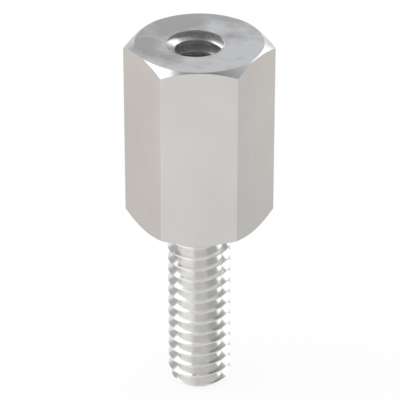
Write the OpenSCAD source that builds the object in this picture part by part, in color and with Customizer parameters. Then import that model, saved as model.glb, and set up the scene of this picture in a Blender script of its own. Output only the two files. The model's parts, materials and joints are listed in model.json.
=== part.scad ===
// Male-female hex standoff: a hexagonal spacer with a threaded stud below and a tapped blind hole in its top.
// It is turned, drilled, tapped and threaded from one hexagonal bar. Millimetres, +Z up.
// The origin is the centre of the shoulder, the body's lower end face, where the part seats.

/* [Hexagonal body] */
// Width across the flats, the wrench size
across_flats = 12.7; // [12:0.1:20]
// Height from the shoulder to the top face
body_length = 19.05; // [17:0.05:60]
// Diameter of the flat circle that turning leaves on each end face
end_face_d = 12.51; // [11:0.01:12.6]
// Angle between an end face and the chamfer that takes off the corners
corner_chamfer_angle = 30; // [15:1:45]

/* [Threads] */
// Distance from one crest to the next
pitch = 1.27; // [1.2:0.01:1.3]
// Cut the two helical threads, or leave the true cylinders that their crests lie on
cut_threads = false;
// Straight steps in one turn of a helix
steps_per_turn = 36; // [24:12:48]

/* [Stud] */
// Diameter over the crests of the male thread
stud_d = 6.3; // [6.1:0.01:6.35]
// Length from the shoulder to the stud's end
stud_length = 19.05; // [6:0.05:30]
// Diameter of the flat end, inside its lead-in chamfer
stud_end_d = 4.88; // [4.6:0.01:5.4]
// Angle between the stud's axis and its lead-in chamfer
lead_in_angle = 45; // [30:1:60]
// Turns over which the thread runs out below the shoulder
runout_turns = 1; // [0.5:0.25:2]

/* [Tapped hole] */
// Diameter of the drilled wall, over the crests of the female thread
drill_d = 4.8; // [4.7:0.01:5.2]
// Depth of the female thread
tapped_depth = 12.7; // [6:0.1:13]
// How much further the drilled wall runs down before the drill's point
drilled_past_thread = 1.6; // [0.8:0.1:1.8]
// Diameter at the bottom of the female thread's groove
tap_d = 6.6; // [6.35:0.01:6.7]
// Included angle of the drill's point
drill_point_angle = 118; // [90:1:140]

/* [Hidden] */

// Each flank of a 60 degree thread leans this far from the radial plane
flank_angle = 30;
// Flat left on the male crests, an eighth of the pitch
male_crest_flat = pitch / 8;
// Flat left at the bottom of the male groove, an eighth of the pitch
male_root_flat = pitch / 8;
// What the two flats leave of the pitch sets the male groove's depth
male_groove_depth = (pitch - male_crest_flat - male_root_flat) / 2 / tan(flank_angle);
// Angle from +X at which the male groove starts, one pitch below the stud's end
male_groove_angle = -33;
// Flat left at the bottom of the female groove, a sixteenth of the pitch
female_root_flat = pitch / 16;
// Angle from +X at which the female groove runs out of the top face
female_groove_angle = 210;
// A cutter starts this far clear of the wall that it cuts
clearance = 0.06;
// A solid that joins another reaches this far into it
overlap = 1;

corner_r = across_flats / 2 / cos(30);
drill_depth = tapped_depth + drilled_past_thread;
drill_point_h = drill_d / 2 / tan(drill_point_angle / 2);
lead_in_h = (stud_d - stud_end_d) / 2 / tan(lead_in_angle);

// The solid of revolution that a lathe leaves: an end face and a chamfer past the corners at both ends
module turned_envelope() {
    r_past = corner_r + overlap;
    chamfer_h = (r_past - end_face_d / 2) * tan(corner_chamfer_angle);
    half_profile = [
        [0, 0],
        [end_face_d / 2, 0],
        [r_past, chamfer_h],
        [r_past, body_length - chamfer_h],
        [end_face_d / 2, body_length],
        [0, body_length],
    ];
    rotate_extrude($fn = 180)
        polygon(half_profile);
}

// The hexagonal bar cut back to that envelope, which leaves a curved edge on every flat
module hexagonal_body() {
    intersection() {
        cylinder(r = corner_r, h = body_length, $fn = 6);
        turned_envelope();
    }
}

// The four corners of a groove's section at one step, as [x, y, z].
// The groove is deep_flat wide at radius r_deep and opens towards radius r_open.
function groove_section(angle, z, r_deep, r_open, deep_flat) =
    let (open_flat = deep_flat + 2 * abs(r_open - r_deep) * tan(flank_angle))
    [for (p = [[r_deep, -deep_flat], [r_open, -open_flat], [r_open, open_flat], [r_deep, deep_flat]])
        [p[0] * cos(angle), p[0] * sin(angle), z + p[1] / 2]];

// A right-hand helical groove: sections joined by quads, split into triangles, and closed at both ends.
// It rises turns times from height z_start at start_angle, and its last runout turns grow shallow.
module helical_groove(r_deep, r_open, deep_flat, z_start, turns, start_angle, runout) {
    steps = ceil(turns * steps_per_turn);
    runout_steps = max(1, runout * steps_per_turn);
    inward = r_open < r_deep;
    rings = [for (i = [0:steps])
        let (
            left = (steps - i) / runout_steps,
            r = left < 1 ? r_open + (r_deep - r_open) * max(left, 0.05) : r_deep
        )
        groove_section(
            start_angle + i * 360 / steps_per_turn,
            z_start + i * pitch / steps_per_turn,
            r, r_open, deep_flat
        )];
    points = [for (ring = rings) each ring];
    sides = [for (i = [0:steps - 1], k = [0:3])
        let (a = 4 * i + k, b = 4 * i + (k + 1) % 4)
        each [[a, b, b + 4], [a, b + 4, a + 4]]];
    last = 4 * steps;
    ends = [[3, 2, 1], [3, 1, 0], [last, last + 1, last + 2], [last, last + 2, last + 3]];
    faces = concat(sides, ends);
    polyhedron(points, inward ? [for (f = faces) [f[2], f[1], f[0]]] : faces);
}

// The stud's blank, with a lead-in chamfer down to its flat end
module stud_blank() {
    translate([0, 0, -stud_length + lead_in_h])
        cylinder(d = stud_d, h = stud_length - lead_in_h, $fn = 96);
    translate([0, 0, -stud_length])
        cylinder(d1 = stud_end_d, d2 = stud_d, h = lead_in_h, $fn = 96);
}

// The stud, with its groove running off the end and out again just short of the shoulder
module stud() {
    turns = stud_length / pitch;
    difference() {
        stud_blank();
        if (cut_threads)
            helical_groove(
                r_deep = stud_d / 2 - male_groove_depth,
                r_open = stud_d / 2 + clearance,
                deep_flat = male_root_flat,
                z_start = -stud_length - pitch,
                turns = turns + 0.5,
                start_angle = male_groove_angle,
                runout = runout_turns
            );
    }
}

// What drill and tap take out of the top: the drilled wall, its point, and the groove
module tapped_hole() {
    translate([0, 0, body_length - drill_depth])
        cylinder(d = drill_d, h = drill_depth + overlap, $fn = 96);
    translate([0, 0, body_length - drill_depth - drill_point_h])
        cylinder(d1 = 0, d2 = drill_d, h = drill_point_h, $fn = 96);
    if (cut_threads)
        helical_groove(
            r_deep = tap_d / 2,
            r_open = drill_d / 2 - clearance,
            deep_flat = female_root_flat,
            z_start = body_length - tapped_depth,
            turns = tapped_depth / pitch + 1,
            start_angle = female_groove_angle - 360 * tapped_depth / pitch,
            runout = 0
        );
}

module standoff() {
    color("gainsboro")
        difference() {
            union() {
                hexagonal_body();
                stud();
            }
            tapped_hole();
        }
}

standoff();
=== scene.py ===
"""A hex standoff: a bar of hexagonal stainless steel, with a threaded stud and a tapped hole.

The bar, the stud and the hole are one closed mesh. It is made from the solids that the tools leave:
the drawn bar, the turned outlines, and two screw shapes, one for the stud and one for the tap.
Metres, +Z up, origin at the centre of the shoulder.
"""
import json
import math

import bmesh
import bpy
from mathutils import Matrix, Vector


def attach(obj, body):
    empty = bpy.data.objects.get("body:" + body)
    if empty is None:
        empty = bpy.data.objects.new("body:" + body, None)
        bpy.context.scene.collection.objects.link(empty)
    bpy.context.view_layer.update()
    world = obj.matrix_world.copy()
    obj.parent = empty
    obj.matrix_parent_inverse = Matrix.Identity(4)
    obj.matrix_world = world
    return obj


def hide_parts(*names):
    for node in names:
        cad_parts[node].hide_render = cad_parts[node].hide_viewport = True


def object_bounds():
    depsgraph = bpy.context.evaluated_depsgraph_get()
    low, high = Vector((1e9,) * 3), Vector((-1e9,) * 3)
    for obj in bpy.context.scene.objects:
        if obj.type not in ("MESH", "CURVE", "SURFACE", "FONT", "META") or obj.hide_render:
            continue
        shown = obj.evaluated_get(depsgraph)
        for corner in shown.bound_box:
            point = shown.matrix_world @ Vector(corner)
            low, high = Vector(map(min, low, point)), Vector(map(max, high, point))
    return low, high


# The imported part, its box, and its mounts by name
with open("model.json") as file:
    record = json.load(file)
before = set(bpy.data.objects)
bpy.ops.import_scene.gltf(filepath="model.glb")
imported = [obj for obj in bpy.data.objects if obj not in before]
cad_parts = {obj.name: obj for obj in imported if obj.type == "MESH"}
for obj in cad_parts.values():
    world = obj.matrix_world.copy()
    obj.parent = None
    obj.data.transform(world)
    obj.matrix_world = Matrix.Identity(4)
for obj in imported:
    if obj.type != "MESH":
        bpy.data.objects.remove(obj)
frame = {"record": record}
cad_low, cad_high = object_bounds()
mounts = {mount["name"]: mount for mount in frame["record"]["mounts"]}

MM = 0.001

# The part's driving sizes, as the frame gives them
FLATS = cad_high.y - cad_low.y
TOP = cad_high.z
STUD_END = cad_low.z
STUD_R = mounts["stud"]["dims"]["r_mm"] * MM
LEAD_IN = -STUD_END - mounts["stud"]["dims"]["length_mm"] * MM
HOLE_R = mounts["tapped_hole"]["dims"]["r_mm"] * MM
HOLE_DEPTH = mounts["tapped_hole"]["dims"]["length_mm"] * MM

# The body: its corners, the flat circle on each end, the chamfer past it, and its rounded edges
HALF_SIDE = math.radians(30)
CORNER_R = FLATS / 2 / math.cos(HALF_SIDE)
END_FACE_R = 6.255 * MM
CHAMFER_ANGLE = math.radians(30)
EDGE_R = 0.03 * MM
DRAWN_EDGE_STEPS = 4
TURNED_EDGE_STEPS = 2

# Both threads are right-hand, and their flanks lean 30 degrees from square to the axis
PITCH = 1.27 * MM
FLANK_SLOPE = math.tan(math.radians(30))

# The stud's thread, and the height of one of its crests over +X
MALE_CREST_FLAT = PITCH / 8
MALE_ROOT_FLAT = PITCH / 8
MALE_DEPTH = (PITCH - MALE_CREST_FLAT - MALE_ROOT_FLAT) / 2 / FLANK_SLOPE
MALE_CREST_ROUNDING = 0.02 * MM
MALE_ROOT_ROUNDING = 0.04 * MM
MALE_CREST_AT = 0.75 * MM

# Where the die stops: the grooves grow shallow from the lower height to the upper one
RUNOUT_BOTTOM = -2.2 * MM
RUNOUT_TOP = -0.7 * MM

# The tap, whose crests cut the bottom of the hole's groove, and the height of a crest over +X
TAP_R = 3.3 * MM
TAP_CREST_FLAT = PITCH / 16
TAP_ROUNDING = 0.03 * MM
TAP_CREST_AT = TOP - PITCH * 7 / 12
TAPPED_DEPTH = 12.7 * MM
TAP_LEAD = 1.5 * PITCH
DRILL_POINT = math.radians(118)

# How far a cutting solid reaches past the steel, and the gap that keeps two walls from lying in one
PAST = 1.0 * MM
CLEAR = 0.02 * MM

# How finely the solids are cut, and what is welded and marked sharp afterwards
THREAD_COLUMNS = 120
TURNED_FACETS = 180
SCREW_WELD = 1e-7
WELD = 1.5e-6
SHARP_ANGLE = math.radians(12)


# ---------------------------------------------------------------- solids

def mesh_object(name, mesh):
    """A new object in the scene that holds the mesh."""
    made = bpy.data.objects.new(name, mesh)
    bpy.context.scene.collection.objects.link(made)
    return made


def shape_object(name, shape, finish):
    """A new object of one finish that holds the bmesh, which is used up."""
    mesh = bpy.data.meshes.new(name)
    shape.to_mesh(mesh)
    shape.free()
    mesh.materials.append(finish)
    return mesh_object(name, mesh)


def turned(name, profile, facets, finish):
    """A solid of revolution round Z. The profile is (radius, height) from the axis to the axis."""
    shape = bmesh.new()
    rings = []
    for radius, height in profile:
        if radius == 0:
            rings.append([shape.verts.new((0, 0, height))])
            continue
        ring = []
        for step in range(facets):
            turn = 2 * math.pi * step / facets
            spot = (radius * math.cos(turn), radius * math.sin(turn), height)
            ring.append(shape.verts.new(spot))
        rings.append(ring)
    for low, high in zip(rings, rings[1:]):
        for step in range(facets):
            after = (step + 1) % facets
            if len(low) == 1:
                shape.faces.new((low[0], high[after], high[step]))
            elif len(high) == 1:
                shape.faces.new((low[step], low[after], high[0]))
            else:
                shape.faces.new((low[step], low[after], high[after], high[step]))
    bmesh.ops.recalc_face_normals(shape, faces=shape.faces)
    return shape_object(name, shape, finish)


def hexagonal_bar(name, low, high, finish):
    """A length of the drawn bar, with a corner on +X and its six long edges rounded."""
    corner_centre = CORNER_R - EDGE_R / math.cos(HALF_SIDE)
    outline = []
    for side in range(6):
        middle = math.radians(60 * side)
        centre = Vector((corner_centre * math.cos(middle), corner_centre * math.sin(middle)))
        for step in range(DRAWN_EDGE_STEPS + 1):
            turn = middle + math.radians(60 * (step / DRAWN_EDGE_STEPS - 0.5))
            outline.append(centre + EDGE_R * Vector((math.cos(turn), math.sin(turn))))
    shape = bmesh.new()
    bottom = [shape.verts.new((x, y, low)) for x, y in outline]
    top = [shape.verts.new((x, y, high)) for x, y in outline]
    shape.faces.new(reversed(bottom))
    shape.faces.new(top)
    for here in range(len(outline)):
        after = (here + 1) % len(outline)
        shape.faces.new((bottom[here], bottom[after], top[after], top[here]))
    return shape_object(name, shape, finish)


# ---------------------------------------------------------------- node trees

class Wiring:
    """Short calls for building a node tree. Each returns the output socket of what it adds."""

    def __init__(self, tree):
        self.tree = tree

    def node(self, kind, **values):
        """A new node, with its properties set. This call returns the node itself."""
        made = self.tree.nodes.new(kind)
        for name, value in values.items():
            setattr(made, name, value)
        return made

    def feed(self, socket, value):
        """Links an output to the socket, or sets a plain value on it."""
        if isinstance(value, bpy.types.NodeSocket):
            self.tree.links.new(value, socket)
        else:
            socket.default_value = value

    def calc(self, operation, *values):
        made = self.node("ShaderNodeMath", operation=operation)
        for socket, value in zip(made.inputs, values):
            self.feed(socket, value)
        return made.outputs[0]

    def vector_calc(self, operation, *values):
        made = self.node("ShaderNodeVectorMath", operation=operation)
        for socket, value in zip(made.inputs, values):
            self.feed(socket, value)
        return made.outputs["Value" if operation == "DOT_PRODUCT" else "Vector"]

    def split(self, vector):
        """The vector's three numbers."""
        made = self.node("ShaderNodeSeparateXYZ")
        self.feed(made.inputs[0], vector)
        return made.outputs

    def joined(self, x, y, z):
        made = self.node("ShaderNodeCombineXYZ")
        for socket, value in zip(made.inputs, (x, y, z)):
            self.feed(socket, value)
        return made.outputs[0]

    def ranged(self, value, low, high, to_low=0.0, to_high=1.0, ease="LINEAR"):
        made = self.node("ShaderNodeMapRange", interpolation_type=ease)
        for socket, given in zip(made.inputs, (value, low, high, to_low, to_high)):
            self.feed(socket, given)
        return made.outputs[0]

    def blended(self, share, tone, other):
        made = self.node("ShaderNodeMix", data_type="RGBA")
        self.feed(made.inputs["Factor"], share)
        self.feed(made.inputs["A"], tone)
        self.feed(made.inputs["B"], other)
        return made.outputs["Result"]

    def mixed_shaders(self, share, shader, other):
        made = self.node("ShaderNodeMixShader")
        for socket, given in zip(made.inputs, (share, shader, other)):
            self.feed(socket, given)
        return made.outputs[0]


# ---------------------------------------------------------------- the screw shape

SCREW_INPUTS = (
    ("Pitch", "NodeSocketFloat"),
    ("Crest Radius", "NodeSocketFloat"),
    ("Groove Depth", "NodeSocketFloat"),
    ("Crest Flat", "NodeSocketFloat"),
    ("Crest Height", "NodeSocketFloat"),
    ("Bottom", "NodeSocketFloat"),
    ("Top", "NodeSocketFloat"),
    ("Crest Rounding", "NodeSocketFloat"),
    ("Root Rounding", "NodeSocketFloat"),
    ("Columns", "NodeSocketInt"),
    ("Finish", "NodeSocketMaterial"),
)
ROWS_PER_TURN = 12.0
SPARE_TURNS = 3.0


def screw_tree():
    """A closed screw-shaped solid round Z, with a right-hand thread.

    A grid is rolled up: its columns go round the axis and its rows follow the helix, so that the
    crest and root edges lie on rows. Rows past an end are pressed flat into it, and the first and
    last rows close it on the axis.
    """
    tree = bpy.data.node_groups.new("screw", "GeometryNodeTree")
    tree.is_modifier = True
    tree.interface.new_socket("Geometry", in_out="INPUT", socket_type="NodeSocketGeometry")
    for name, kind in SCREW_INPUTS:
        tree.interface.new_socket(name, in_out="INPUT", socket_type=kind)
    tree.interface.new_socket("Geometry", in_out="OUTPUT", socket_type="NodeSocketGeometry")
    wire = Wiring(tree)
    calc = wire.calc
    given = wire.node("NodeGroupInput").outputs
    pitch = given["Pitch"]

    # The grid, a metre square: the turns that the length needs, and spare ones for the ends
    length = calc("SUBTRACT", given["Top"], given["Bottom"])
    turns = calc("ADD", calc("CEIL", calc("DIVIDE", length, pitch)), SPARE_TURNS)
    rows = calc("MULTIPLY", turns, ROWS_PER_TURN)
    grid = wire.node("GeometryNodeMeshGrid")
    wire.feed(grid.inputs["Size X"], 1.0)
    wire.feed(grid.inputs["Size Y"], 1.0)
    wire.feed(grid.inputs["Vertices X"], calc("ADD", given["Columns"], 1.0))
    wire.feed(grid.inputs["Vertices Y"], calc("ADD", rows, 1.0))

    # Each point's share of a turn round the axis, its row, and that row's turn and step in the turn
    across, along, _ = wire.split(wire.node("GeometryNodeInputPosition").outputs[0])
    round_share = calc("ADD", across, 0.5)
    row = calc("ROUND", calc("MULTIPLY", calc("ADD", along, 0.5), rows))
    turn = calc("FLOOR", calc("DIVIDE", calc("ADD", row, 0.5), ROWS_PER_TURN))
    step = calc("SUBTRACT", row, calc("MULTIPLY", turn, ROWS_PER_TURN))

    # The rows of one turn lie on and beside each corner of the thread's section. These are their
    # heights over a crest's middle: six for the flank above it, six for the flank under the next
    crest_edge = calc("DIVIDE", given["Crest Flat"], 2.0)
    groove_rise = calc("MULTIPLY", given["Groove Depth"], FLANK_SLOPE)
    root_edge = calc("ADD", crest_edge, groove_rise)
    crest_reach = calc("MULTIPLY", given["Crest Rounding"], FLANK_SLOPE)
    root_reach = calc("MULTIPLY", given["Root Rounding"], FLANK_SLOPE)
    edges = [
        calc("SUBTRACT", crest_edge, crest_reach),
        crest_edge,
        calc("ADD", crest_edge, crest_reach),
        calc("SUBTRACT", root_edge, root_reach),
        root_edge,
        calc("ADD", root_edge, root_reach),
    ]
    far_edges = [calc("SUBTRACT", pitch, edge) for edge in reversed(edges)]
    choice = wire.node("GeometryNodeIndexSwitch", data_type="FLOAT")
    while len(choice.index_switch_items) < ROWS_PER_TURN:
        choice.index_switch_items.new()
    wire.feed(choice.inputs["Index"], step)
    for socket, edge in zip(choice.inputs[1:], edges + far_edges):
        wire.feed(socket, edge)

    # Height: from a crest at least one pitch under the bottom, by turn, step and the helix's rise
    crest_at = given["Crest Height"]
    below = calc("DIVIDE", calc("SUBTRACT", given["Bottom"], crest_at), pitch)
    start = calc("SUBTRACT", calc("FLOOR", below), 1.0)
    risen = calc("MULTIPLY", calc("ADD", calc("ADD", start, turn), round_share), pitch)
    free_height = calc("ADD", calc("ADD", crest_at, risen), choice.outputs[0])
    height = calc("MINIMUM", calc("MAXIMUM", free_height, given["Bottom"]), given["Top"])

    # Radius: the distance from the nearest crest gives the groove's depth at this height
    over_crest = calc("SUBTRACT", height, crest_at)
    pitches = calc("SUBTRACT", calc("DIVIDE", over_crest, pitch), round_share)
    off_crest = calc("ABSOLUTE", calc("SUBTRACT", pitches, calc("ROUND", pitches)))
    past_edge = calc("SUBTRACT", calc("MULTIPLY", off_crest, pitch), crest_edge)
    depth = calc("SMOOTH_MAX", calc("DIVIDE", past_edge, FLANK_SLOPE), 0.0, given["Crest Rounding"])
    depth = calc("SMOOTH_MIN", depth, given["Groove Depth"], given["Root Rounding"])
    after_first = calc("GREATER_THAN", row, 0.5)
    before_last = calc("LESS_THAN", row, calc("SUBTRACT", rows, 0.5))
    open_radius = calc("SUBTRACT", given["Crest Radius"], depth)
    radius = calc("MULTIPLY", open_radius, calc("MULTIPLY", after_first, before_last))

    angle = calc("MULTIPLY", round_share, 2 * math.pi)
    x = calc("MULTIPLY", radius, calc("COSINE", angle))
    y = calc("MULTIPLY", radius, calc("SINE", angle))
    move = wire.node("GeometryNodeSetPosition")
    wire.feed(move.inputs["Geometry"], grid.outputs["Mesh"])
    wire.feed(move.inputs["Position"], wire.joined(x, y, height))
    close = wire.node("GeometryNodeMergeByDistance")
    wire.feed(close.inputs["Geometry"], move.outputs[0])
    wire.feed(close.inputs["Distance"], SCREW_WELD)
    real = wire.node("GeometryNodeRealizeInstances")
    wire.feed(real.inputs[0], close.outputs[0])
    finish = wire.node("GeometryNodeSetMaterial")
    wire.feed(finish.inputs["Geometry"], real.outputs[0])
    wire.feed(finish.inputs["Material"], given["Finish"])
    wire.feed(wire.node("NodeGroupOutput").inputs[0], finish.outputs[0])
    return tree


def plain_mesh(source, name):
    """The evaluated object as a plain mesh of its own. The source is removed."""
    bpy.context.view_layer.update()
    seen = source.evaluated_get(bpy.context.evaluated_depsgraph_get())
    mesh = bpy.data.meshes.new_from_object(seen)
    mesh.name = name
    bpy.data.objects.remove(source)
    return mesh_object(name, mesh)


def screw(name, tree, **sizes):
    """A screw-shaped solid made by the tree, with its sizes given by input name."""
    blank = mesh_object(name + "_blank", bpy.data.meshes.new(name + "_blank"))
    modifier = blank.modifiers.new("screw", "NODES")
    modifier.node_group = tree
    inputs = [item for item in tree.interface.items_tree if item.in_out == "INPUT"]
    keys = {item.name: item.identifier for item in inputs}
    for label, value in sizes.items():
        modifier[keys[label.replace("_", " ").title()]] = value
    return plain_mesh(blank, name)


def combine(target, tool, operation):
    """Joins, cuts or crosses the target with the tool, which is used up."""
    modifier = target.modifiers.new(operation.lower(), "BOOLEAN")
    modifier.operation = operation
    modifier.object = tool
    modifier.solver = "MANIFOLD"
    modifier.material_mode = "TRANSFER"
    name = target.name
    made = plain_mesh(target, name)
    bpy.data.objects.remove(tool)
    made.name = name
    return made


def finish_mesh(piece):
    """Welds the slivers that the cuts leave, and marks every real edge sharp."""
    shape = bmesh.new()
    shape.from_mesh(piece.data)
    bmesh.ops.remove_doubles(shape, verts=shape.verts, dist=WELD)
    bmesh.ops.dissolve_degenerate(shape, edges=shape.edges, dist=WELD)
    for face in shape.faces:
        face.smooth = True
    shape.to_mesh(piece.data)
    shape.free()
    piece.data.set_sharp_from_angle(angle=SHARP_ANGLE)


# ---------------------------------------------------------------- the standoff's own shapes

def body_outline():
    """The body as turned: flat ends, chamfers past the corners, and a small round between them."""
    past_r = CORNER_R + PAST
    drop = (past_r - END_FACE_R) * math.tan(CHAMFER_ANGLE)
    centre = Vector((END_FACE_R - EDGE_R * math.tan(CHAMFER_ANGLE / 2), -EDGE_R))
    half = []
    for step in range(TURNED_EDGE_STEPS + 1):
        turn = CHAMFER_ANGLE * step / TURNED_EDGE_STEPS
        half.append(centre + EDGE_R * Vector((math.sin(turn), math.cos(turn))))
    half.append(Vector((past_r, -drop)))
    upper = [(r, TOP + z) for r, z in half]
    lower = [(r, -z) for r, z in half]
    return [(0, 0)] + lower + upper[::-1] + [(0, TOP)]


def stud_outline():
    """The stud as turned: its flat end, the lead-in chamfer at 45 degrees, and clear above it."""
    end_r = STUD_R - LEAD_IN
    past_r = STUD_R + 0.3 * MM
    chamfer_top = STUD_END + past_r - end_r
    return [(0, STUD_END), (end_r, STUD_END), (past_r, chamfer_top), (past_r, PAST), (0, PAST)]


def runout_outline():
    """The steel that the die leaves in the grooves as it stops below the shoulder."""
    floor_r = STUD_R - MALE_DEPTH - CLEAR
    full_r = STUD_R - CLEAR / 2
    return [(0, RUNOUT_BOTTOM), (floor_r, RUNOUT_BOTTOM),
            (full_r, RUNOUT_TOP), (full_r, PAST / 2), (0, PAST / 2)]


def drilled_outline():
    """The drilled hole, down to the drill's point."""
    floor = TOP - HOLE_DEPTH
    point = floor - HOLE_R / math.tan(DRILL_POINT / 2)
    return [(0, point), (HOLE_R, floor), (HOLE_R, TOP + PAST), (0, TOP + PAST)]


def tap_outline():
    """The tap as ground: a short lead at its nose, and clear of its crests above."""
    nose = TOP - TAPPED_DEPTH
    nose_r = HOLE_R - 0.1 * MM
    past_r = TAP_R + 0.2 * MM
    return [(0, nose), (nose_r, nose), (past_r, nose + TAP_LEAD),
            (past_r, TOP + PAST), (0, TOP + PAST)]


def make_stud(tree, turned_finish, threaded_finish):
    """The screw shape cut back to the stud's outline, with its grooves filled at the runout."""
    stud = screw("stud", tree, pitch=PITCH, crest_radius=STUD_R, groove_depth=MALE_DEPTH,
                 crest_flat=MALE_CREST_FLAT, crest_height=MALE_CREST_AT,
                 bottom=STUD_END - PAST, top=PAST, crest_rounding=MALE_CREST_ROUNDING,
                 root_rounding=MALE_ROOT_ROUNDING, columns=THREAD_COLUMNS, finish=threaded_finish)
    blank = turned("blank", stud_outline(), THREAD_COLUMNS, turned_finish)
    stud = combine(stud, blank, "INTERSECT")
    runout = turned("runout", runout_outline(), THREAD_COLUMNS, threaded_finish)
    return combine(stud, runout, "UNION")


def make_hole(tree, tapped_finish):
    """All that drill and tap take out. The tap's grooves end just inside the drilled wall."""
    tap = screw("tap", tree, pitch=PITCH, crest_radius=TAP_R, groove_depth=TAP_R - HOLE_R + CLEAR,
                crest_flat=TAP_CREST_FLAT, crest_height=TAP_CREST_AT,
                bottom=TOP - TAPPED_DEPTH, top=TOP + PAST, crest_rounding=TAP_ROUNDING,
                root_rounding=TAP_ROUNDING, columns=THREAD_COLUMNS, finish=tapped_finish)
    nose = turned("nose", tap_outline(), THREAD_COLUMNS, tapped_finish)
    tap = combine(tap, nose, "INTERSECT")
    drill = turned("drill", drilled_outline(), THREAD_COLUMNS, tapped_finish)
    return combine(tap, drill, "UNION")


def make_standoff(drawn_finish, turned_finish, threaded_finish, tapped_finish):
    """The bar, turned to length, joined with the stud, and cut by drill and tap."""
    tree = screw_tree()
    body = hexagonal_bar("standoff_steel", -PAST, TOP + PAST, drawn_finish)
    envelope = turned("envelope", body_outline(), TURNED_FACETS, turned_finish)
    body = combine(body, envelope, "INTERSECT")
    body = combine(body, make_stud(tree, turned_finish, threaded_finish), "UNION")
    body = combine(body, make_hole(tree, tapped_finish), "DIFFERENCE")
    finish_mesh(body)
    return body


# ---------------------------------------------------------------- finishes

# Each finish runs from a light tone to a hazy or dark one
STEEL_TONE = (0.85, 0.842, 0.828, 1)
HAZE_TONE = (0.80, 0.79, 0.78, 1)
# The hole's steel is painted lighter and more neutral than the rest: painted light that lifts the
# shade deep in the hole
HOLE_PAINTED_LIGHT_TONE = (0.92, 0.92, 0.92, 1)
HOLE_PAINTED_LIGHT_HAZE_TONE = (0.87, 0.87, 0.87, 1)
# The end faces' tones, which the clouds mix at random. Besides, the pale bluish one is painted
# light, laid on towards the front right, and the dark one painted shade towards the back left
FACE_LIGHT_TONE = (0.95, 0.965, 0.98, 1)
FACE_DARK_TONE = (0.62, 0.62, 0.62, 1)

# The parts of the noises' range that the tones and the gloss follow
CLOUD_LOW, CLOUD_HIGH = 0.38, 0.62
MARK_LOW, MARK_HIGH = 0.30, 0.70
GLOSS_LOW, GLOSS_HIGH = 0.7, 1.3

# How much of the dark tone the strongest marks take, and each noise's detail and roughness
MARK_SHARE = 0.10
NOISE_DETAIL = 3.0
MARK_NOISE = 0.6
CLOUD_NOISE = 0.55

# How slowly a mark changes along its length: a share of its rate up the bar, and metres a radian
BAR_STRETCH = (1, 1, 0.012)
TURN_STRETCH = 0.0004


class Shading(Wiring):
    """Wiring for a new material: coordinates, noise and bump as short calls."""

    def __init__(self, name):
        self.material = bpy.data.materials.new(name)
        self.material.use_nodes = True
        super().__init__(self.material.node_tree)
        self.shader = self.tree.nodes["Principled BSDF"]

    def place(self):
        return self.node("ShaderNodeTexCoord").outputs["Object"]

    def scaled(self, vector, scale):
        made = self.node("ShaderNodeMapping")
        self.feed(made.inputs["Vector"], vector)
        made.inputs["Scale"].default_value = scale
        return made.outputs[0]

    def noise(self, vector, scale, roughness):
        made = self.node("ShaderNodeTexNoise", noise_dimensions="3D")
        self.feed(made.inputs["Vector"], vector)
        made.inputs["Scale"].default_value = scale
        made.inputs["Detail"].default_value = NOISE_DETAIL
        made.inputs["Roughness"].default_value = roughness
        return made.outputs["Fac"]

    def bump(self, height, distance, under=None):
        made = self.node("ShaderNodeBump")
        made.inputs["Strength"].default_value = 1.0
        made.inputs["Distance"].default_value = distance
        self.feed(made.inputs["Height"], height)
        if under is not None:
            self.feed(made.inputs["Normal"], under)
        return made.outputs[0]


def along_the_bar(shade):
    """Coordinates in which a mark runs up the bar: fine across it and long along it."""
    return shade.scaled(shade.place(), BAR_STRETCH)


def round_the_axis(shade):
    """Coordinates in which a mark runs round the axis: radius, height, and a little of the turn."""
    calc = shade.calc
    x, y, z = shade.split(shade.place())
    radius = calc("SQRT", calc("ADD", calc("MULTIPLY", x, x), calc("MULTIPLY", y, y)))
    return shade.joined(radius, z, calc("MULTIPLY", calc("ARCTAN2", y, x), TURN_STRETCH))


def steel_finish(name, lay, light, dark, roughness, spread, mark_scale, mark_height,
                 cloud_scale, cloud_height, cloud_at=(0, 0, 0), painted_light_lean=(0, 0, 0)):
    """Bare steel: fine marks that follow the tool's lay, under soft clouds of tone and level.

    The clouds run from the light to the dark tone. A slope across the part paints them lighter
    towards one side and darker towards the other, as painted light and shade. Scales are waves in
    a metre, and heights are in metres.
    """
    shade = Shading(name)
    marks = shade.noise(lay(shade), mark_scale, MARK_NOISE)
    clouds_at = shade.vector_calc("ADD", shade.place(), cloud_at)
    clouds = shade.noise(clouds_at, cloud_scale, CLOUD_NOISE)
    # Painted light and shade: the tone runs lighter towards one side of the part and darker towards
    # the other
    side = shade.vector_calc("DOT_PRODUCT", shade.place(), painted_light_lean)
    clouds_and_painted_light = shade.calc("SUBTRACT", clouds, side)
    tone = shade.blended(shade.ranged(clouds_and_painted_light, CLOUD_LOW, CLOUD_HIGH), light, dark)
    mark_share = shade.ranged(marks, MARK_LOW, MARK_HIGH, 0.0, MARK_SHARE)
    shade.feed(shade.shader.inputs["Base Color"], shade.blended(mark_share, tone, dark))
    gloss = shade.ranged(shade.calc("ADD", marks, clouds), GLOSS_LOW, GLOSS_HIGH,
                         roughness - spread, roughness + spread)
    shade.feed(shade.shader.inputs["Roughness"], gloss)
    level = shade.bump(clouds, cloud_height)
    shade.feed(shade.shader.inputs["Normal"], shade.bump(marks, mark_height, level))
    shade.shader.inputs["Metallic"].default_value = 1.0
    return shade.material


def drawn_steel():
    """The flats: satin, with faint marks up the bar."""
    return steel_finish("drawn_steel", along_the_bar, STEEL_TONE, HAZE_TONE,
                        roughness=0.30, spread=0.03, mark_scale=5000, mark_height=0.3e-6,
                        cloud_scale=120, cloud_height=1e-6)


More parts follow.
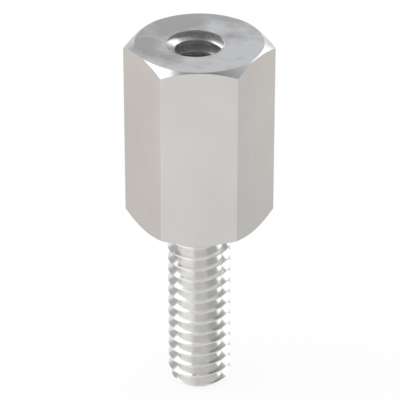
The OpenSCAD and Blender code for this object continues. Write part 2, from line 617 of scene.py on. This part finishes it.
def turned_steel():
    """The end faces and chamfers: ring marks under cloudy patches, with painted light at the front
    right.
    """
    return steel_finish("turned_steel", round_the_axis, FACE_LIGHT_TONE, FACE_DARK_TONE,
                        roughness=0.24, spread=0.03, mark_scale=7000, mark_height=0.25e-6,
                        cloud_scale=260, cloud_height=4e-6, cloud_at=(0.35, 0, 0),
                        painted_light_lean=(12, -24, 0))


def threaded_steel():
    """The stud's thread, which the die leaves the glossiest."""
    return steel_finish("threaded_steel", round_the_axis, STEEL_TONE, HAZE_TONE,
                        roughness=0.17, spread=0.03, mark_scale=9000, mark_height=0.4e-6,
                        cloud_scale=700, cloud_height=1e-6)


def tapped_steel():
    """The hole's wall and thread, painted lighter than the other steel to lift the shade in the
    hole.
    """
    return steel_finish("tapped_steel", round_the_axis, HOLE_PAINTED_LIGHT_TONE, HOLE_PAINTED_LIGHT_HAZE_TONE,
                        roughness=0.28, spread=0.04, mark_scale=9000, mark_height=0.5e-6,
                        cloud_scale=700, cloud_height=1e-6)


# ---------------------------------------------------------------- stage

CAMERA_ELEVATION = math.radians(30.28)
CAMERA_DISTANCE = 277.4 * MM
CAMERA_AIM = Vector((0.0604 * MM, 0, 1.556 * MM))
CAMERA_LENS = 252
CAMERA_SENSOR = 36
CAMERA_NEAR = 10 * MM


def camera():
    """A long lens in front of the part, looking down on it."""
    data = bpy.data.cameras.new("camera")
    data.lens = CAMERA_LENS
    data.sensor_width = CAMERA_SENSOR
    data.clip_start = CAMERA_NEAR
    made = bpy.data.objects.new("camera", data)
    back = Vector((0, -math.cos(CAMERA_ELEVATION), math.sin(CAMERA_ELEVATION)))
    made.location = CAMERA_AIM + CAMERA_DISTANCE * back
    made.rotation_mode = "QUATERNION"
    made.rotation_quaternion = (-back).to_track_quat("-Z", "Y")
    bpy.context.scene.collection.objects.link(made)
    bpy.context.scene.camera = made


def toward(azimuth, elevation):
    """A direction out of the part, in degrees: azimuth from front to right, and elevation."""
    level, up = math.radians(azimuth), math.radians(elevation)
    return Vector((math.sin(level) * math.cos(up), -math.cos(level) * math.cos(up), math.sin(up)))


# The room's tone by height, from straight down (-1) to straight up (1)
ROOM_RAMP = (
    (-1.0, 0.72), (-0.5, 0.68), (-0.1, 0.66), (0.05, 0.64), (0.22, 0.55), (0.40, 0.47), (1.0, 0.42),
)

# Soft patches in the room, each laid over the ones before it:
# azimuth, elevation, the half-angles where it is full and where it ends, and its tone
ROOM_PATCHES = (
    (-63, -14, 24, 48, (1.1, 1.1, 1.1)),
    (-88, -62, 16, 32, (1.1, 1.1, 1.1)),
    (-120, -20, 18, 32, (0.61, 0.565, 0.52)),
    (-118, -34, 8, 22, (0.55, 0.505, 0.475)),
    (0, -22, 10, 26, (0.69, 0.68, 0.665)),
    (120, -20, 16, 32, (0.606, 0.563, 0.52)),
    (-103, 6, 8, 22, (0.82, 0.82, 0.82)),
    (55, -15, 13, 33, (0.46, 0.46, 0.46)),
    (97, -22, 10, 22, (0.5, 0.5, 0.5)),
    (112, -62, 8, 20, (1.0, 1.0, 1.0)),
    (98, 76, 10, 24, (0.27, 0.27, 0.28)),
    (0, 90, 8, 22, (0.16, 0.16, 0.16)),
    (180, 30, 10, 24, (0.53, 0.532, 0.54)),
    (-161, 6, 9, 18, (0.93, 0.93, 0.93)),
    (160, 3, 13, 26, (0.84, 0.84, 0.84)),
    (180, -22, 14, 28, (0.55, 0.55, 0.555)),
)

# Square lamps: azimuth, elevation, half-angles across and up, and tone. At 1 the metal shows white
SOFTBOXES = {
    "left_softbox": (-98, 52.5, 25, 17.5, 1.15),
    "right_softbox": (134, 30, 15, 12, 1.2),
    "low_right_softbox": (95, 6.5, 14, 10.5, 1.25),
}
SOFTBOX_DISTANCE = 0.6

WHITE = (1, 1, 1, 1)
SOFT_LIGHT_TONE = (0.9, 0.9, 0.9, 1)
PAPER_TONE = (0.95, 0.95, 0.95, 1)
PAPER_HALF = 3.0
# How much of the paper's glow is its own: white to the camera, and in the metal the studio's
# tones, which paint pools of light and shade on the paper. The rest takes light and shadow
PAPER_GLOW = 0.85
# Light goes back and forth many times in the grooves and the hole
LIGHT_BOUNCES = 24


def studio_tones():
    """What the metal sees round it: the room's tone by height, with its soft patches."""
    tree = bpy.data.node_groups.new("studio_tones", "ShaderNodeTree")
    tree.interface.new_socket("Direction", in_out="INPUT", socket_type="NodeSocketVector")
    tree.interface.new_socket("Tone", in_out="OUTPUT", socket_type="NodeSocketColor")
    wire = Wiring(tree)
    direction = wire.vector_calc("NORMALIZE", wire.node("NodeGroupInput").outputs[0])
    ramp = wire.node("ShaderNodeValToRGB")
    ramp.color_ramp.interpolation = "EASE"
    while len(ramp.color_ramp.elements) < len(ROOM_RAMP):
        ramp.color_ramp.elements.new(1.0)
    for element, (up, tone) in zip(ramp.color_ramp.elements, ROOM_RAMP):
        element.position = (up + 1) / 2
        element.color = (tone, tone, tone, 1)
    wire.feed(ramp.inputs[0], wire.calc("MULTIPLY_ADD", wire.split(direction)["Z"], 0.5, 0.5))
    tone = ramp.outputs[0]
    for azimuth, elevation, full, end, patch_tone in ROOM_PATCHES:
        dot = wire.vector_calc("DOT_PRODUCT", direction, toward(azimuth, elevation))
        share = wire.ranged(dot, math.cos(math.radians(end)), math.cos(math.radians(full)),
                            ease="SMOOTHSTEP")
        tone = wire.blended(share, tone, (*patch_tone, 1))
    wire.feed(wire.node("NodeGroupOutput").inputs[0], tone)
    return tree


def backdrop(wire, tones, direction):
    """The backdrop: white to the camera, and the studio's tones in the metal.

    Returns its tone, and whether a ray is one of those that see it.
    """
    path = wire.node("ShaderNodeLightPath").outputs
    seen = wire.calc("MAXIMUM", path["Is Camera Ray"], path["Is Glossy Ray"])
    seen = wire.calc("MAXIMUM", seen, path["Is Transmission Ray"])
    group = wire.node("ShaderNodeGroup", node_tree=tones)
    wire.feed(group.inputs[0], direction)
    return wire.blended(path["Is Camera Ray"], group.outputs[0], WHITE), seen


def floor(tones):
    """A sheet under the part, centred on it so that its coordinates are directions.

    The camera sees it white; the metal sees the studio's painted light and shade on it.
    """
    z = cad_low.z
    mesh = bpy.data.meshes.new("floor")
    corners = [(-PAPER_HALF, -PAPER_HALF, z), (PAPER_HALF, -PAPER_HALF, z),
               (PAPER_HALF, PAPER_HALF, z), (-PAPER_HALF, PAPER_HALF, z)]
    mesh.from_pydata(corners, [], [(0, 1, 2, 3)])
    made = mesh_object("floor", mesh)
    paper = bpy.data.materials.new("paper")
    paper.use_nodes = True
    nodes = paper.node_tree.nodes
    nodes.remove(nodes["Principled BSDF"])
    wire = Wiring(paper.node_tree)
    tone, seen = backdrop(wire, tones, wire.node("ShaderNodeTexCoord").outputs["Object"])
    matt = wire.node("ShaderNodeBsdfDiffuse")
    matt.inputs["Color"].default_value = PAPER_TONE
    glow = wire.node("ShaderNodeEmission")
    glow.inputs["Strength"].default_value = 1.0
    wire.feed(glow.inputs["Color"], tone)
    # The glow is white to the camera and, where the metal sees the paper, the studio's painted
    # light and shade
    white_and_painted_glow_share = wire.calc("MULTIPLY", seen, PAPER_GLOW)
    sheet = wire.mixed_shaders(white_and_painted_glow_share, matt.outputs[0], glow.outputs[0])
    wire.feed(nodes["Material Output"].inputs["Surface"], sheet)
    mesh.materials.append(paper)


def studio_air(tones):
    """The room: the backdrop where it is seen, and plain soft light on all else."""
    world = bpy.data.worlds.new("studio")
    bpy.context.scene.world = world
    world.use_nodes = True
    nodes = world.node_tree.nodes
    wire = Wiring(world.node_tree)
    tone, seen = backdrop(wire, tones, wire.node("ShaderNodeTexCoord").outputs["Generated"])
    soft = nodes["Background"]
    soft.inputs["Color"].default_value = SOFT_LIGHT_TONE
    shown = wire.node("ShaderNodeBackground")
    wire.feed(shown.inputs["Color"], tone)
    air = wire.mixed_shaders(seen, soft.outputs[0], shown.outputs[0])
    wire.feed(nodes["World Output"].inputs["Surface"], air)


def softbox(name, azimuth, elevation, half_width, half_height, tone):
    """A square lamp that faces the part and fills the given half-angles."""
    data = bpy.data.lights.new(name, "AREA")
    data.shape = "RECTANGLE"
    data.size = 2 * SOFTBOX_DISTANCE * math.tan(math.radians(half_width))
    data.size_y = 2 * SOFTBOX_DISTANCE * math.tan(math.radians(half_height))
    data.energy = tone * math.pi * data.size * data.size_y
    made = bpy.data.objects.new(name, data)
    made.location = SOFTBOX_DISTANCE * toward(azimuth, elevation)
    made.rotation_mode = "QUATERNION"
    made.rotation_quaternion = toward(azimuth, elevation).to_track_quat("Z", "Y")
    made.visible_camera = False
    bpy.context.scene.collection.objects.link(made)


# ---------------------------------------------------------------- the scene

scene = bpy.context.scene
scene.view_settings.view_transform = "Standard"
scene.cycles.max_bounces = LIGHT_BOUNCES
scene.cycles.glossy_bounces = LIGHT_BOUNCES
camera()
tones = studio_tones()
floor(tones)
studio_air(tones)
for name, values in SOFTBOXES.items():
    softbox(name, *values)

standoff = make_standoff(drawn_steel(), turned_steel(), threaded_steel(), tapped_steel())
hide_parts("standoff")
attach(standoff, "root")
